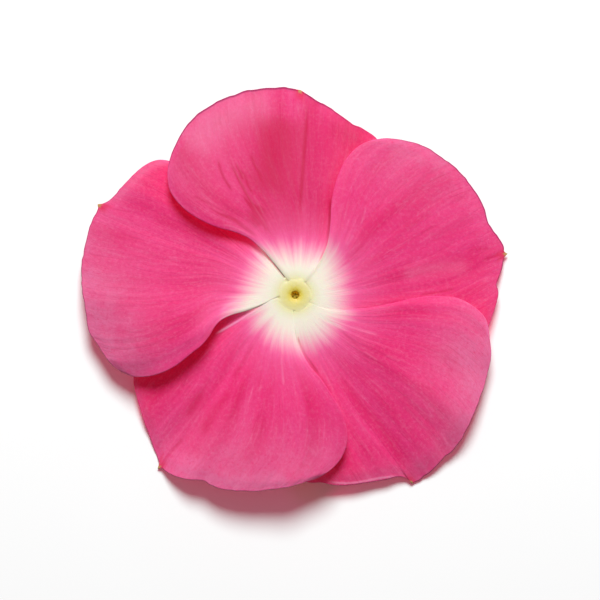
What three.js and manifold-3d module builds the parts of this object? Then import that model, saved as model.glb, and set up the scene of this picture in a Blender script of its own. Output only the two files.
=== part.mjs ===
// A picked vinca (Catharanthus roseus) flower, lying face up on a surface.
// Millimetres, +Z up. Bearings are in degrees, counter-clockwise from +X as seen from above, and
// outlines are measured from the throat axis, which stands upright through the mouth of the tube.
import * as THREE from 'three';
import { mergeVertices } from 'three/addons/utils/BufferGeometryUtils.js';
import Module from 'manifold-3d';

const wasm = await Module();
wasm.setup();

// ---- driving dimensions ----

const EYE_HEIGHT = 6.0;            // middle of the limb's thickness, at the throat
const BLADE = 0.7;                 // petal thickness, measured upright
const LOBE_REACH = 24;             // distance from the throat at which RIM_HEIGHTS hold
const DROOP_POWER = 1.6;           // how late the limb bends down on its way out
const PITCH = 1.1;                 // rise of a lobe over one fifth of a turn, so that each laps the next
const PITCH_FROM = 2.2;            // the lobes are level up to this radius ...
const PITCH_FULL = 8;              // ... and fully pitched from this one
const VALLEY_DEPTH = 0.45;         // groove along each midrib
const VALLEY_WIDTH = 0.11;         // its half width, as a share of the lobe's width
const MIDRIB = 0.36;               // where the midrib runs, as a share of the width from the clockwise side
const CLAW_RADIUS = 2.4;           // where the lobes start, inside the collar that joins them

const COLLAR_BORE = 2.13;
const COLLAR_RADIUS = 3.6;
const COLLAR_HALF = 0.45;          // half its thickness
const SEAT_GAP = 0.3;              // clearance between neighbouring pieces

const RIM_RADIUS = 1.8;
const RIM_ANGLES = 0.06;           // how far the five angles of the rim stand out
const MOUTH_RADIUS = 0.55;

const TUBE_BEARING = 258;          // the tube is folded back under the lowest lobe
const TUBE_BEND = 3.6;
const TUBE_LENGTH = 21;
const TUBE_AXIS_HEIGHT = 1.0;      // where it lies on the surface; its underside is pressed flat there
const TUBE_WALL = 0.45;
const CALYX_LIFT = 0.85;           // the thicker calyx props up the base of the tube
const SEPALS = 5;
const SEPAL_LENGTH = 4.2;
const SEPAL_RADIUS = 0.36;
const SEPAL_RING = 1.5;            // distance of their roots from the tube's axis
const SEPAL_ROOT = 0.4;            // how far they are sunk into the cup
const SEPAL_SPREAD = 3;            // degrees by which they lean outwards

const PETAL_PINK = '#e8407f';
const RIM_YELLOW = '#e6da6a';
const TUBE_GREEN = '#c9cf8e';
const ANTHER_GOLD = '#a9791f';
const CALYX_GREEN = '#5f8a3a';

// Height of the limb's edge by bearing, before the pitch of the lobes: [bearing, height].
const RIM_HEIGHTS = [
  [11, 1.5], [45, 2.4], [70, 3.0], [88, 0.3], [118, 2.3], [138, 3.2], [156, 1.2], [185, 1.9],
  [208, 2.6], [232, 0.2], [262, 4.3], [285, 3.7], [302, 0.3], [330, 2.0], [350, 2.7],
];

// One open outline per lobe, from the throat up its clockwise side, past both corners and back down
// its counter-clockwise side. "lift" raises the counter-clockwise edge off the lobe below it.
const LOBES = [
  {
    bearing: 88, lift: 0.5, corners: [3, 10], mucro: 7,
    outline: [
      [1.3, 1.6], [4.1, 5.4], [7.9, 10.3], [10.5, 17.1], [8.3, 19.4], [4.7, 21.6], [1.7, 23.6], [0.7, 24.2],
      [-3, 24.5], [-10.7, 21.9], [-14.7, 15.9], [-14.1, 11.7], [-9.5, 8.2], [-5.1, 6.1], [-3, 4.2], [-1, 1.7],
    ],
  },
  {
    bearing: 155.5, lift: 0.8, corners: [3, 10], mucro: 6,
    outline: [
      [-1, 1.7], [-4.4, 6], [-9.5, 12.4], [-14.5, 15.8], [-18.2, 14.5], [-20.9, 11.6], [-23, 10.6],
      [-24.2, 8.1], [-25.3, 2], [-24.2, -4.2], [-21.6, -8.6], [-18.6, -9.7], [-14.5, -8.7], [-10.2, -5],
      [-7.7, -2.3], [-3.9, -1.2], [-1.9, -0.4],
    ],
  },
  {
    bearing: 232, lift: 0.2, corners: [3, 10], mucro: 6,
    outline: [
      [-1.9, -0.4], [-7.5, -1.7], [-14.5, -5], [-19.1, -9.9], [-18.4, -14.8], [-16.9, -18.4], [-16, -20.4],
      [-14.3, -21.2], [-9.5, -22.6], [-3.9, -23], [2.2, -21.7], [5.9, -18.3], [5.9, -14.2], [2.8, -9.7],
      [0.4, -5.4], [-0.1, -1.8],
    ],
  },
  {
    bearing: 302, lift: 0, corners: [3, 10], mucro: 6,
    outline: [
      [-0.1, -1.8], [-0.9, -6.7], [-1.8, -15.3], [2.9, -22.1], [6.5, -22.5], [12.6, -21.7], [13.9, -22.1],
      [17.4, -19.7], [21.3, -14.2], [23.1, -7.9], [22.9, -4.4], [20.4, -1.3], [15.9, -0.1], [8.8, -1.4],
      [5.3, -1.8], [2, -0.8],
    ],
  },
  {
    bearing: 371, lift: 0.1, corners: [3, 11], mucro: 6,
    outline: [
      [2, -0.8], [7.6, -3.7], [17.1, -7], [22.7, -4.2], [23.9, -0.4], [24, 2.9], [24.6, 5.1], [23.8, 6.7],
      [21.8, 11.3], [17.1, 16.4], [12.9, 18.1], [9.5, 18.3], [5.7, 15.8], [4.1, 9.4], [2.8, 3.9], [1.3, 1.6],
    ],
  },
];

// ---- small helpers ----

const FIFTH = 72;
const rad = THREE.MathUtils.degToRad;
const smooth = (low, high, x) => THREE.MathUtils.smoothstep(x, low, high);

function geometryFrom(points, faces) {
  const geometry = new THREE.BufferGeometry();
  geometry.setAttribute('position', new THREE.Float32BufferAttribute(points.flatMap((p) => p.toArray()), 3));
  geometry.setIndex(faces.flat());
  return geometry;
}

// A stock geometry with its shared corners merged, as a solid needs them.
function welded(geometry) {
  geometry.deleteAttribute('normal');
  geometry.deleteAttribute('uv');
  return mergeVertices(geometry);
}

function solidFrom(geometry) {
  return new wasm.Manifold(new wasm.Mesh({
    numProp: 3,
    vertProperties: new Float32Array(geometry.attributes.position.array),
    triVerts: new Uint32Array(geometry.index.array),
  }));
}

function joined(geometries) {
  const sum = geometries.map(solidFrom).reduce((whole, next) => whole.add(next));
  const { vertProperties, triVerts } = sum.getMesh();
  const geometry = new THREE.BufferGeometry();
  geometry.setAttribute('position', new THREE.Float32BufferAttribute(vertProperties, 3));
  geometry.setIndex(Array.from(triVerts));
  return geometry;
}

function piece(name, geometry, color, roughness) {
  geometry.computeVertexNormals();
  const mesh = new THREE.Mesh(geometry, new THREE.MeshStandardMaterial({ color, roughness, metalness: 0 }));
  mesh.name = name;
  return mesh;
}

// A skin through rings of equally many points, each ring counter-clockwise about the run's direction.
// A run that doesn't close on itself gets a fan of triangles at each end.
function loft(rings, closed) {
  const sides = rings[0].length;
  const points = rings.flat();
  const faces = [];
  const spans = closed ? rings.length : rings.length - 1;
  for (let i = 0; i < spans; i += 1) {
    const here = i * sides;
    const next = ((i + 1) % rings.length) * sides;
    for (let j = 0; j < sides; j += 1) {
      const k = (j + 1) % sides;
      faces.push([here + j, here + k, next + k], [here + j, next + k, next + j]);
    }
  }
  if (!closed) {
    for (const [ring, turn] of [[0, 1], [rings.length - 1, 0]]) {
      const middle = rings[ring].reduce((sum, p) => sum.add(p), new THREE.Vector3()).divideScalar(sides);
      const hub = points.push(middle) - 1;
      for (let j = 0; j < sides; j += 1) {
        const edge = [ring * sides + j, ring * sides + ((j + 1) % sides)];
        faces.push([hub, edge[turn], edge[1 - turn]]);
      }
    }
  }
  return geometryFrom(points, faces);
}

// ---- the limb: five lobes, lapped like a pinwheel and joined at their claws ----

// Points at even steps of length along part of a curve, between two of its control points.
function stretch(curve, from, to, steps) {
  const SAMPLES = 120;
  const last = curve.points.length - 1;
  const dense = Array.from({ length: SAMPLES + 1 }, (_, i) => (
    curve.getPoint(THREE.MathUtils.lerp(from, to, i / SAMPLES) / last)));
  const run = [0];
  for (let i = 1; i <= SAMPLES; i += 1) run.push(run[i - 1] + dense[i].distanceTo(dense[i - 1]));
  return Array.from({ length: steps + 1 }, (_, step) => {
    const target = (run[SAMPLES] * step) / steps;
    const i = Math.min(SAMPLES, Math.max(1, run.findIndex((length) => length >= target)));
    return dense[i - 1].clone().lerp(dense[i], (target - run[i - 1]) / (run[i] - run[i - 1]));
  });
}

// Height of the limb's edge at any bearing, eased between the listed ones.
function edgeHeight(bearing) {
  const first = RIM_HEIGHTS[0][0];
  const b = THREE.MathUtils.euclideanModulo(bearing - first, 360) + first;
  const stops = [...RIM_HEIGHTS, [first + 360, RIM_HEIGHTS[0][1]]];
  const i = stops.findIndex(([at]) => at > b);
  const [[from, low], [to, high]] = [stops[i - 1], stops[i]];
  return THREE.MathUtils.lerp(low, high, smooth(from, to, b));
}

// Middle height of a lobe's blade over a point of its outline's plan.
function lobeHeight(lobe, x, y, across) {
  const radius = Math.hypot(x, y);
  const bearing = THREE.MathUtils.radToDeg(Math.atan2(y, x));
  const turn = THREE.MathUtils.euclideanModulo(bearing - lobe.bearing + 180, 360) - 180;
  const out = (radius - CLAW_RADIUS) / (LOBE_REACH - CLAW_RADIUS);
  const droop = (edgeHeight(bearing) - EYE_HEIGHT) * Math.max(0, out) ** DROOP_POWER;
  const pitch = PITCH * smooth(PITCH_FROM, PITCH_FULL, radius) * (turn / FIFTH);
  const lift = lobe.lift * smooth(20, 55, turn) * smooth(6, 16, radius);
  const groove = VALLEY_DEPTH * Math.exp(-(((across - MIDRIB) / VALLEY_WIDTH) ** 2)) * smooth(5, 12, radius);
  return Math.max(BLADE / 2, EYE_HEIGHT + droop + pitch + lift - groove);
}

function lobeBlade(lobe) {
  const ACROSS = 14;
  const ALONG = 17;
  const nearSteps = Math.round(ACROSS * MIDRIB);
  const curve = new THREE.CatmullRomCurve3(
    lobe.outline.map(([x, y]) => new THREE.Vector3(x, y, 0)), false, 'centripetal');
  const last = lobe.outline.length - 1;
  const [near, far] = lobe.corners;
  const nearSide = stretch(curve, 0, near, ALONG);
  const farSide = stretch(curve, far, last, ALONG).reverse();
  const edge = [
    ...stretch(curve, near, lobe.mucro, nearSteps),
    ...stretch(curve, lobe.mucro, far, ACROSS - nearSteps).slice(1),
  ];
  for (const side of [nearSide, farSide]) side[0].setLength(CLAW_RADIUS);
  const claw = Array.from({ length: ACROSS + 1 }, (_, i) => (
    nearSide[0].clone().lerp(farSide[0], i / ACROSS).setLength(CLAW_RADIUS)));

  // The blade is the surface spanned by its four edges: both sides, the claw and the outer edge.
  const top = [];
  const under = [];
  for (let j = 0; j <= ALONG; j += 1) {
    for (let i = 0; i <= ACROSS; i += 1) {
      const u = i / ACROSS;
      const v = j / ALONG;
      const p = nearSide[j].clone().multiplyScalar(1 - u).addScaledVector(farSide[j], u)
        .addScaledVector(claw[i], 1 - v).addScaledVector(edge[i], v)
        .addScaledVector(claw[0], -(1 - u) * (1 - v)).addScaledVector(claw[ACROSS], -u * (1 - v))
        .addScaledVector(edge[0], -(1 - u) * v).addScaledVector(edge[ACROSS], -u * v);
      const z = lobeHeight(lobe, p.x, p.y, u);
      top.push(new THREE.Vector3(p.x, p.y, z + BLADE / 2));
      under.push(new THREE.Vector3(p.x, p.y, z - BLADE / 2));
    }
  }
  const row = ACROSS + 1;
  const shift = top.length;
  const faces = [];
  for (let j = 0; j < ALONG; j += 1) {
    for (let i = 0; i < ACROSS; i += 1) {
      const a = j * row + i;
      for (const [p, q, r] of [[a, a + row, a + 1], [a + 1, a + row, a + row + 1]]) {
        faces.push([p, q, r], [shift + p, shift + r, shift + q]);
      }
    }
  }
  const border = [
    ...Array.from({ length: ACROSS }, (_, i) => i),
    ...Array.from({ length: ALONG }, (_, j) => j * row + ACROSS),
    ...Array.from({ length: ACROSS }, (_, i) => ALONG * row + ACROSS - i),
    ...Array.from({ length: ALONG }, (_, j) => (ALONG - j) * row),
  ];
  border.forEach((a, i) => {
    const b = border[(i + 1) % border.length];
    faces.push([a, b, shift + b], [a, shift + b, shift + a]);
  });
  return geometryFrom([...top, ...under], faces);
}

function collar() {
  const SIDES = 40;
  const loop = [
    [COLLAR_RADIUS, -COLLAR_HALF], [COLLAR_RADIUS, COLLAR_HALF],
    [COLLAR_BORE, COLLAR_HALF], [COLLAR_BORE, -COLLAR_HALF],
  ];
  return loft(loop.map(([radius, z]) => circle(SIDES, () => radius, EYE_HEIGHT + z)), true);
}

function circle(sides, radiusAt, z) {
  return Array.from({ length: sides }, (_, i) => {
    const angle = (2 * Math.PI * i) / sides;
    return new THREE.Vector3(Math.cos(angle), Math.sin(angle), 0).multiplyScalar(radiusAt(angle)).setZ(z);
  });
}

const corollaLimb = () => piece(
  'corolla_limb', joined([collar(), ...LOBES.map(lobeBlade)]), PETAL_PINK, 0.6);

// ---- the raised five-angled rim of the mouth ----

function throatRim() {
  const SIDES = 40;
  const firstAngle = rad(51);
  const profile = [
    [RIM_RADIUS, -0.45], [RIM_RADIUS, 0.3], [1.62, 0.5], [1.3, 0.55], [0.95, 0.4],
    [0.68, 0.1], [MOUTH_RADIUS, -0.15], [MOUTH_RADIUS, -0.45],
  ];
  const rings = profile.map(([radius, z]) => {
    const angled = RIM_ANGLES * smooth(MOUTH_RADIUS, RIM_RADIUS, radius);
    return circle(SIDES, (a) => radius * (1 + angled * (Math.cos(5 * (a - firstAngle)) - 0.5)), EYE_HEIGHT + z);
  });
  return piece('throat_rim', loft(rings, true), RIM_YELLOW, 0.5);
}

// ---- the corolla tube, folded back under the limb ----

const TUBE_TOP = EYE_HEIGHT - COLLAR_HALF - SEAT_GAP;
const TUBE_DROP = TUBE_TOP - TUBE_AXIS_HEIGHT - TUBE_BEND;
const outward = new THREE.Vector3(Math.cos(rad(TUBE_BEARING)), Math.sin(rad(TUBE_BEARING)), 0);
const sideways = new THREE.Vector3(-outward.y, outward.x, 0);
const upward = new THREE.Vector3(0, 0, 1);

// A point of the tube's axis at a length from the mouth: down, round the bend and along the surface.
function tubeAxis(length) {
  const bendLength = (TUBE_BEND * Math.PI) / 2;
  const turned = THREE.MathUtils.clamp((length - TUBE_DROP) / bendLength, 0, 1) * (Math.PI / 2);
  const straight = Math.max(0, length - TUBE_DROP - bendLength);
  const reach = TUBE_BEND * (1 - Math.cos(turned)) + straight;
  const fall = Math.min(length, TUBE_DROP) + TUBE_BEND * Math.sin(turned);
  const lift = CALYX_LIFT * smooth(TUBE_LENGTH - 8, TUBE_LENGTH + 2, length);
  return outward.clone().multiplyScalar(reach).setZ(TUBE_TOP - fall + lift);
}

function tubeDirection(length) {
  const STEP = 0.05;
  return tubeAxis(length + STEP).sub(tubeAxis(length - STEP)).normalize();
}

// Outer radius: a flared seat under the limb, a swelling round the anthers, then a slender tube.
function tubeRadius(length) {
  const seat = 0.9 * (1 - smooth(0, 0.7, length));
  const swelling = 0.5 * (1 - smooth(3, 7, length));
  return 1.1 + seat + swelling - 0.15 * smooth(16, TUBE_LENGTH, length);
}

// A ring square to the tube's axis, kept above the surface that the flower lies on.
function axisRing(length, sides, radiusAt) {
  const centre = tubeAxis(length);
  const across = tubeDirection(length).cross(sideways);
  return Array.from({ length: sides }, (_, i) => {
    const angle = (2 * Math.PI * i) / sides;
    const radius = radiusAt(angle);
    const p = centre.clone().addScaledVector(sideways, radius * Math.cos(angle))
      .addScaledVector(across, radius * Math.sin(angle));
    return p.setZ(Math.max(0, p.z));
  });
}

function corollaTube() {
  const stations = [0, 0.35, 0.7, 1.4, 2.2, 3, 3.8, 4.6, 5.4, 6.2, 7, 8.5, 10.5, 13, 15.5, 17.5, 19.5];
  const bored = stations.filter((length) => length > 0.35);
  const mouth = 0.85;
  const inner = (length) => Math.min(tubeRadius(length) - TUBE_WALL, mouth + 0.35 * smooth(0.3, 1, length));
  const ring = (length, radius) => axisRing(length, 16, () => radius);
  const rings = [
    ...[...bored].reverse().map((length) => ring(length, inner(length))),
    ring(0, mouth),
    ...[...stations, TUBE_LENGTH].map((length) => ring(length, tubeRadius(length))),
  ];
  return piece('corolla_tube', loft(rings, false), TUBE_GREEN, 0.6);
}

// ---- the cone of five anthers, just under the mouth ----

function anthers() {
  const profile = [[0.35, 0.12], [0.65, 0.34], [1.05, 0.52], [1.5, 0.64], [1.9, 0.58], [2.2, 0.3]];
  const rings = profile.map(([length, radius]) => (
    axisRing(length, 30, (angle) => radius * (1 + 0.1 * Math.cos(5 * angle)))));
  return piece('anthers', loft(rings, false), ANTHER_GOLD, 0.7);
}

// ---- the calyx at the base of the tube, with its cut stalk ----

function calyx() {
  const STALK_RADIUS = 0.55;
  const profile = [[STALK_RADIUS, -2.7], [STALK_RADIUS, -1.4], [1.15, -1.05], [1.6, -0.5], [1.75, 0]];
  const cup = loft(profile.map(([radius, z]) => circle(20, () => radius, z)), false);
  const sepals = Array.from({ length: SEPALS }, (_, i) => {
    const sepal = new THREE.ConeGeometry(SEPAL_RADIUS, SEPAL_LENGTH, 6, 1);
    sepal.rotateX(Math.PI / 2).translate(0, 0, SEPAL_LENGTH / 2 - SEPAL_ROOT);
    sepal.rotateY(rad(SEPAL_SPREAD)).translate(SEPAL_RING, 0, 0).rotateZ(rad(FIFTH * i));
    return welded(sepal);
  });
  const geometry = joined([cup, ...sepals]);
  const forward = tubeDirection(TUBE_LENGTH).negate();
  const frame = new THREE.Matrix4().makeBasis(sideways.clone().cross(forward), sideways, forward);
  geometry.applyMatrix4(frame.setPosition(tubeAxis(TUBE_LENGTH + SEAT_GAP)));
  return piece('calyx', geometry, CALYX_GREEN, 0.65);
}

// ---- the flower, stood with its box centred over the origin and its lowest points at z = 0 ----

const group = new THREE.Group();
group.add(corollaLimb(), throatRim(), corollaTube(), anthers(), calyx());
const box = new THREE.Box3().setFromObject(group);
const middle = box.getCenter(new THREE.Vector3());
group.position.set(-middle.x, -middle.y, -box.min.z);

export default group;
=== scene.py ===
"""A picked vinca (Catharanthus roseus) flower, lying face up on a plain pale surface.

Shapes are worked out in millimetres about the throat axis, which stands upright through the mouth of
the tube, and become metres in the CAD frame when a mesh is made. Bearings are in degrees,
counter-clockwise from +X as seen from above.
"""
import math
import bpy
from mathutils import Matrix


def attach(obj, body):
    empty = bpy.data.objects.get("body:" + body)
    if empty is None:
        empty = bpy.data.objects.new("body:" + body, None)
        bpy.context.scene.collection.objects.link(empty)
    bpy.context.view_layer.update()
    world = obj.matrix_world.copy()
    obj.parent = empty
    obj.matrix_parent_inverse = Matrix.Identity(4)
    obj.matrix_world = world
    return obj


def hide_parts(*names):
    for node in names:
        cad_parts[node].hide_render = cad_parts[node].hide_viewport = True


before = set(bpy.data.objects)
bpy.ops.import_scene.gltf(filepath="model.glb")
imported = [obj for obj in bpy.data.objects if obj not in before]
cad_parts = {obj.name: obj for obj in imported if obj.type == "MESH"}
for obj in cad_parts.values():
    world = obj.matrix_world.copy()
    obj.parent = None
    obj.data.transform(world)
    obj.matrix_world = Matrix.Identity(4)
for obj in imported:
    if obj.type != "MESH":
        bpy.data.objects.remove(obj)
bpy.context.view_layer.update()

from types import SimpleNamespace

import bpy
import numpy as np
from mathutils import Matrix, Vector
from numpy.linalg import norm

MM = 0.001
THROAT = np.array((0.35, -0.77, 0.0))  # the throat axis in the frame
ROOT = "root"

# ---- sizes shared with the CAD model ----

EYE_HEIGHT = 6.0  # middle of the limb's thickness, at the throat
LOBE_REACH = 24.0  # distance from the throat at which RIM_HEIGHTS hold
CLAW_RADIUS = 2.4  # the limb is level inside this radius
DROOP_POWER = 1.6
PITCH = 1.1  # rise of a lobe over one fifth of a turn, so that each laps the next
CLAW_PITCH = 0.03  # the same at the claws
PITCH_FROM, PITCH_FULL = 2.8, 8.6  # distances from the throat between which that rise sets in
VALLEY_DEPTH, VALLEY_WIDTH = 0.2, 0.11  # of the groove along the midrib; the width is a share of the lobe's
MIDRIB = 0.36  # where the midrib runs, as a share of the width from the clockwise side
FIFTH = 72.0  # degrees in a fifth of a turn
TUBE_TOP = 5.25
TUBE_BEARING = math.radians(258)
TUBE_BEND = 3.6  # radius of the bend between the upright and the lying part of the tube
TUBE_LENGTH = 21.0
TUBE_AXIS_HEIGHT = 1.0  # where it lies on the surface
CALYX_LIFT = 0.85  # the thicker calyx props up the base of the tube

# Height of the limb's edge by bearing, before the pitch of the lobes.
RIM_HEIGHTS = (
    (11, 1.5), (45, 2.4), (70, 3.0), (88, 0.75), (118, 2.3), (138, 2.7), (156, 2.1), (188, 3.1), (198, 2.6),
    (208, 1.75), (228, 1.1), (242, 3.9), (257, 4.6), (268, 4.5), (277, 3.4), (285, 2.25), (295, 2.15),
    (303, 1.5), (313, 2.1), (325, 3.1), (338, 2.35), (350, 2.5),
)

# The five lobes, counter-clockwise from the top one. "outline" runs from the throat up the clockwise side,
# past both corners and back down the other side. "corners" and "mucro" are the places in it of the corners
# and the tip, "point" is the mucro's length, and "bearing" the way the lobe points. "lift" raises the other
# side off the lobe below: it sets in and falls off between the distances in "lift_zone", or stays up past
# the margin (40, 41). "star" is how far the cream star reaches up the clockwise side, the midrib and the
# other side. "tone" is painted shade: it dims the pink, most on the lobes that the lamp lights most. "edging"
# widens the margin's dark line of painted shade, "pale" fades the outer part from "pale_from" of the width on
# to a paler pink that is partly painted sheen, and "through" is how much of the lamp's light passes each
# face.
LOBES = (dict(
    bearing=88, corners=(3, 24), mucro=13, point=0.08, lift=1.15, lift_zone=(2, 15, 40, 41),
    tone=0.87, star=(6.1, 5.3, 6.3), edging=1.8, pale=0.42, pale_from=0.5, through=0.66,
    outline=((1.5, 1.4), (4.9, 4.8), (7.9, 10.3), (10.5, 17.1), (9.64, 18.41), (8.58, 19.23), (7.75, 19.77),
        (6.93, 20.06), (6.4, 20.47), (5.27, 21.3), (3.5, 22.48), (1.97, 23.36), (1.26, 23.81), (0.55, 24.25),
        (-0.63, 24.54), (-2.4, 24.6), (-4.76, 24.37), (-7.12, 23.78), (-8.89, 23.07), (-10.66, 22.01),
        (-12.43, 20.41), (-13.61, 18.76), (-14.43, 16.99), (-14.9, 15.34), (-15.02, 14.16), (-14.67, 12.15),
        (-13.25, 10.27), (-11.72, 9.14), (-10.18, 8.32), (-8.77, 7.79), (-7.59, 7.49), (-6.53, 7.14),
        (-5.35, 6.55), (-3.93, 5.31), (-2.63, 3.78), (-0.98, 1.65)),
), dict(
    bearing=155.5, corners=(5, 25), mucro=12, point=0.35, lift=1.6, lift_zone=(6, 12, 17.5, 24),
    tone=0.91, star=(6.4, 5.6, 8.3), edging=0.7, pale=1.0, pale_from=0.3, through=0.51,
    outline=((-0.98, 1.65), (-3.22, 4.37), (-5.94, 7.91), (-8.89, 11.68), (-11.84, 14.51), (-14.79, 15.81),
        (-16.2, 15.99), (-17.38, 15.58), (-18.56, 14.75), (-19.74, 13.63), (-20.92, 12.39), (-22.1, 11.21),
        (-23.16, 10.62), (-23.52, 9.91), (-23.99, 9.2), (-24.46, 7.91), (-24.93, 6.14), (-25.17, 4.13),
        (-25.29, 1.77), (-25.05, -0.59), (-24.76, -2.36), (-24.4, -4.13), (-23.52, -5.66), (-22.46, -7.32),
        (-21.51, -8.38), (-20.21, -9.2), (-18.92, -9.62), (-17.15, -9.56), (-15.38, -9.03), (-13.84, -8.2),
        (-12.43, -7.08), (-10.89, -5.84), (-10.07, -4.84), (-9.48, -3.84), (-8.89, -3.13), (-8.18, -2.66),
        (-7.3, -2.3), (-5.5, -1.81), (-3.52, -1.1), (-1.92, -0.24)),
), dict(
    bearing=232, corners=(7, 26), mucro=13, point=0.6, lift=0.9, lift_zone=(4, 15, 40, 41),
    tone=0.99, star=(5.8, 5.6, 6.4), edging=0.45, pale=0.92, pale_from=0.15, through=0.5,
    outline=((-1.92, -0.24), (-3.93, -0.47), (-6.53, -0.83), (-8.3, -1.36), (-12.43, -3.19), (-16.2, -5.66),
        (-18.68, -8.14), (-19.15, -10.03), (-18.97, -11.45), (-18.5, -13.22), (-17.85, -15.1),
        (-17.2, -16.99), (-16.61, -18.76), (-16.08, -20.3), (-15.61, -20.83), (-14.55, -21.36),
        (-13.02, -21.77), (-10.89, -21.89), (-10.48, -22.12), (-10.18, -22.42), (-8.65, -22.77),
        (-7, -22.95), (-5.35, -23.01), (-2.99, -22.89), (-1.22, -22.66), (0.55, -22.18), (2.68, -21.48),
        (4.45, -20.3), (5.51, -19), (6.1, -17.11), (5.86, -14.99), (5.16, -13.22), (4.21, -11.68),
        (3.15, -10.03), (1.73, -8.38), (0.85, -6.84), (0.24, -5.31), (0.02, -3.54), (-0.15, -1.77)),
), dict(
    bearing=302, corners=(3, 25), mucro=12, point=0.1, lift=0.0, lift_zone=(6, 16, 40, 41),
    tone=1.0, star=(6.9, 6.0, 6.3), edging=0.6, pale=1.3, pale_from=0.42, through=0.5,
    outline=((-0.3, -1.8), (-1.3, -6.7), (-1.8, -15.3), (1, -21.9), (3.15, -22.18), (4.45, -22.42),
        (5.86, -22.54), (7.63, -22.36), (9.99, -21.95), (12.12, -21.59), (12.94, -21.65), (13.42, -21.95),
        (13.77, -22.3), (14.5, -22.08), (15.5, -21.42), (16.6, -20.4), (17.66, -19.23), (18.84, -18.17),
        (19.79, -16.87), (20.61, -15.22), (21.56, -12.98), (22.33, -10.74), (22.86, -8.38), (23.09, -6.73),
        (22.97, -5.31), (22.8, -3.89), (22.38, -2.71), (21.68, -1.89), (20.38, -0.94), (18.84, -0.29),
        (17.07, -0.12), (15.3, -0.18), (13.53, -0.47), (11.17, -1), (8.81, -1.47), (5.86, -1.71),
        (3.86, -1.59), (2.09, -0.94)),
), dict(
    bearing=371, corners=(3, 24), mucro=11, point=0.5, lift=0.45, lift_zone=(4.5, 9, 40, 41),
    tone=0.94, star=(5.9, 5.7, 7.2), edging=1.1, pale=0.77, pale_from=0.45, through=0.6,
    outline=((1.8, -1.15), (7.4, -4), (17.1, -7), (22.7, -4.2), (22.86, -3.78), (23.21, -2.71),
        (23.68, -1.3), (23.98, 0.24), (23.85, 1.3), (24.25, 2.4), (24.6, 3.75), (24.64, 4.8), (24.58, 5.95),
        (23.62, 7.45), (22.86, 8.85), (22.5, 10.27), (21.79, 11.68), (20.61, 13.33), (19.2, 14.81),
        (17.43, 16.17), (15.66, 17.29), (13.77, 17.99), (11.76, 18.41), (10.58, 18.47), (9.76, 18.35),
        (8.58, 18.05), (7.4, 17.46), (6.22, 16.28), (5.27, 14.63), (4.6, 12.63), (4.22, 10.62), (4.12, 8.61),
        (3.95, 6.96), (3.64, 5.55), (2.98, 4.13), (2.09, 2.83), (1.26, 1.6)),
))
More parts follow.
